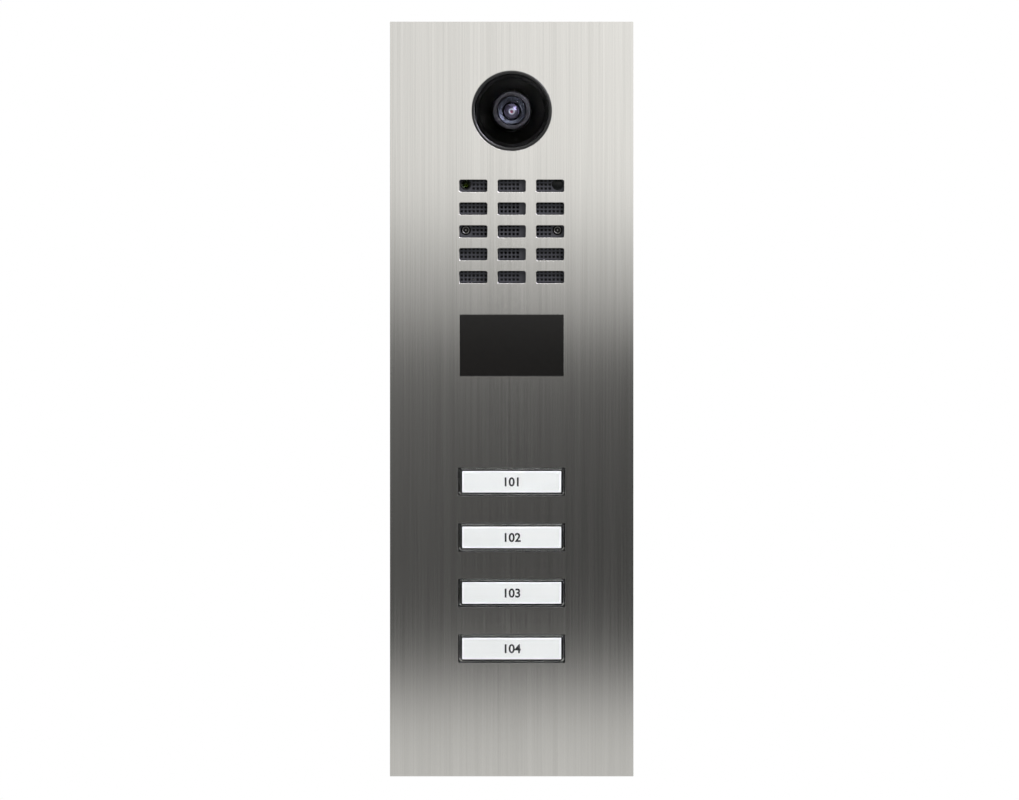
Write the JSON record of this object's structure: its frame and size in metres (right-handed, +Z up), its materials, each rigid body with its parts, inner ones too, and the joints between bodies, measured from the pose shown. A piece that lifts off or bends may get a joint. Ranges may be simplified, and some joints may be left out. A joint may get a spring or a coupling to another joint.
{
  "type": "door intercom panel",
  "caption": "Flush-mounted door intercom: stainless front plate with camera dome, slotted speaker grille, dark reader window and labelled call buttons, over a box in the wall.",
  "frame": {"origin": "middle of the front plate, on the wall's surface, where the plate's gasket lies", "axes": "+Z up along the plate's height, +X to the right as a visitor sees it, +Y into the wall; the front faces -Y"},
  "size_m": [0.1254, 0.0606, 0.389],
  "materials": {
    "brushed_stainless": "stainless steel, brushed along its height",
    "plain_stainless": "stainless steel, plain",
    "zinc_sheet": "zinc-plated sheet, folded",
    "black_rubber": "black EPDM, matt",
    "turned_aluminium": "turned, bare",
    "blackened_steel": "blackened security screws",
    "black_abs": "moulded, fine matt texture",
    "zinc_screws": "zinc-plated screws",
    "gloss_black": "moulded, polished",
    "clear_polycarbonate": "clear, polished dome",
    "camera_black": "deep matt black",
    "anodised_black": "anodised, satin",
    "anodised_grey": "anodised, satin",
    "coated_glass": "coated lens glass",
    "circuit_board": "solder mask",
    "grille_abs": "moulded, matt dark grey",
    "cone_paper": "pressed paper cone",
    "magnet_steel": "coated magnet",
    "sensor_lens": "clear resin lens",
    "infrared_acrylic": "infrared-pass acrylic",
    "window_acrylic": "polished black acrylic",
    "led_resin": "light-emitting diodes",
    "chip_epoxy": "epoxy packages",
    "socket_shell": "plated shell",
    "terminal_nylon": "nylon",
    "flex_polyimide": "polyimide flat cable",
    "clear_acrylic": "clear, polished",
    "label_paper": "printed insert",
    "milky_acrylic": "milky light guide",
    "silicone": "moulded silicone dome"
  },
  "bodies": {
    "station": {"front_plate": "brushed_stainless", "plate_studs": "plain_stainless", "stud_nuts": "plain_stainless", "plate_gasket": "black_rubber", "hanging_hooks": "plain_stainless", "wall_box": "zinc_sheet", "cable_grommets": "black_rubber", "lock_pillars": "turned_aluminium", "lock_screws": "blackened_steel", "module_carrier": "black_abs", "rear_cover": "black_abs", "cover_screws": "zinc_screws", "module_seals": "black_rubber", "camera_bezel": "gloss_black", "camera_dome": "clear_polycarbonate", "camera_baffle": "camera_black", "lens_barrel": "anodised_black", "lens_retainer": "anodised_grey", "lens_front_element": "coated_glass", "camera_board": "circuit_board", "camera_housing": "black_abs", "camera_screws": "zinc_screws", "grille_plate": "grille_abs", "audio_frame": "black_abs", "speaker_basket": "plain_stainless", "speaker_cone": "cone_paper", "speaker_magnet": "magnet_steel", "microphone_boot": "black_rubber", "microphone_capsule": "turned_aluminium", "light_sensor_lens": "sensor_lens", "infrared_window": "infrared_acrylic", "reader_window": "window_acrylic", "reader_frame": "black_abs", "antenna_board": "circuit_board", "key_frame": "black_abs", "button_board": "circuit_board", "backlight_leds": "led_resin", "main_board": "circuit_board", "board_screws": "zinc_screws", "board_parts": "chip_epoxy", "network_socket": "socket_shell", "terminal_block": "terminal_nylon", "flat_cables": "flex_polyimide", "key_dome_1": "silicone", "key_dome_2": "silicone", "key_dome_3": "silicone", "key_dome_4": "silicone"},
    "call_button_1": {"button_cap_1": "clear_acrylic", "name_label_1": "label_paper", "key_carrier_1": "milky_acrylic"},
    "call_button_2": {"button_cap_2": "clear_acrylic", "name_label_2": "label_paper", "key_carrier_2": "milky_acrylic"},
    "call_button_3": {"button_cap_3": "clear_acrylic", "name_label_3": "label_paper", "key_carrier_3": "milky_acrylic"},
    "call_button_4": {"button_cap_4": "clear_acrylic", "name_label_4": "label_paper", "key_carrier_4": "milky_acrylic"}
  },
  "joints": [
    {"name": "call_button_1_press", "type": "slide", "parent": "station", "child": "call_button_1", "axis": [0, 1, 0], "range_m": [0, 0.0008], "stiffness_N_per_m": 400, "springref_m": -0.002, "deforming": ["key_dome_1"]},
    {"name": "call_button_2_press", "type": "slide", "parent": "station", "child": "call_button_2", "axis": [0, 1, 0], "range_m": [0, 0.0008], "stiffness_N_per_m": 400, "springref_m": -0.002, "deforming": ["key_dome_2"]},
    {"name": "call_button_3_press", "type": "slide", "parent": "station", "child": "call_button_3", "axis": [0, 1, 0], "range_m": [0, 0.0008], "stiffness_N_per_m": 400, "springref_m": -0.002, "deforming": ["key_dome_3"]},
    {"name": "call_button_4_press", "type": "slide", "parent": "station", "child": "call_button_4", "axis": [0, 1, 0], "range_m": [0, 0.0008], "stiffness_N_per_m": 400, "springref_m": -0.002, "deforming": ["key_dome_4"]}
  ]
}
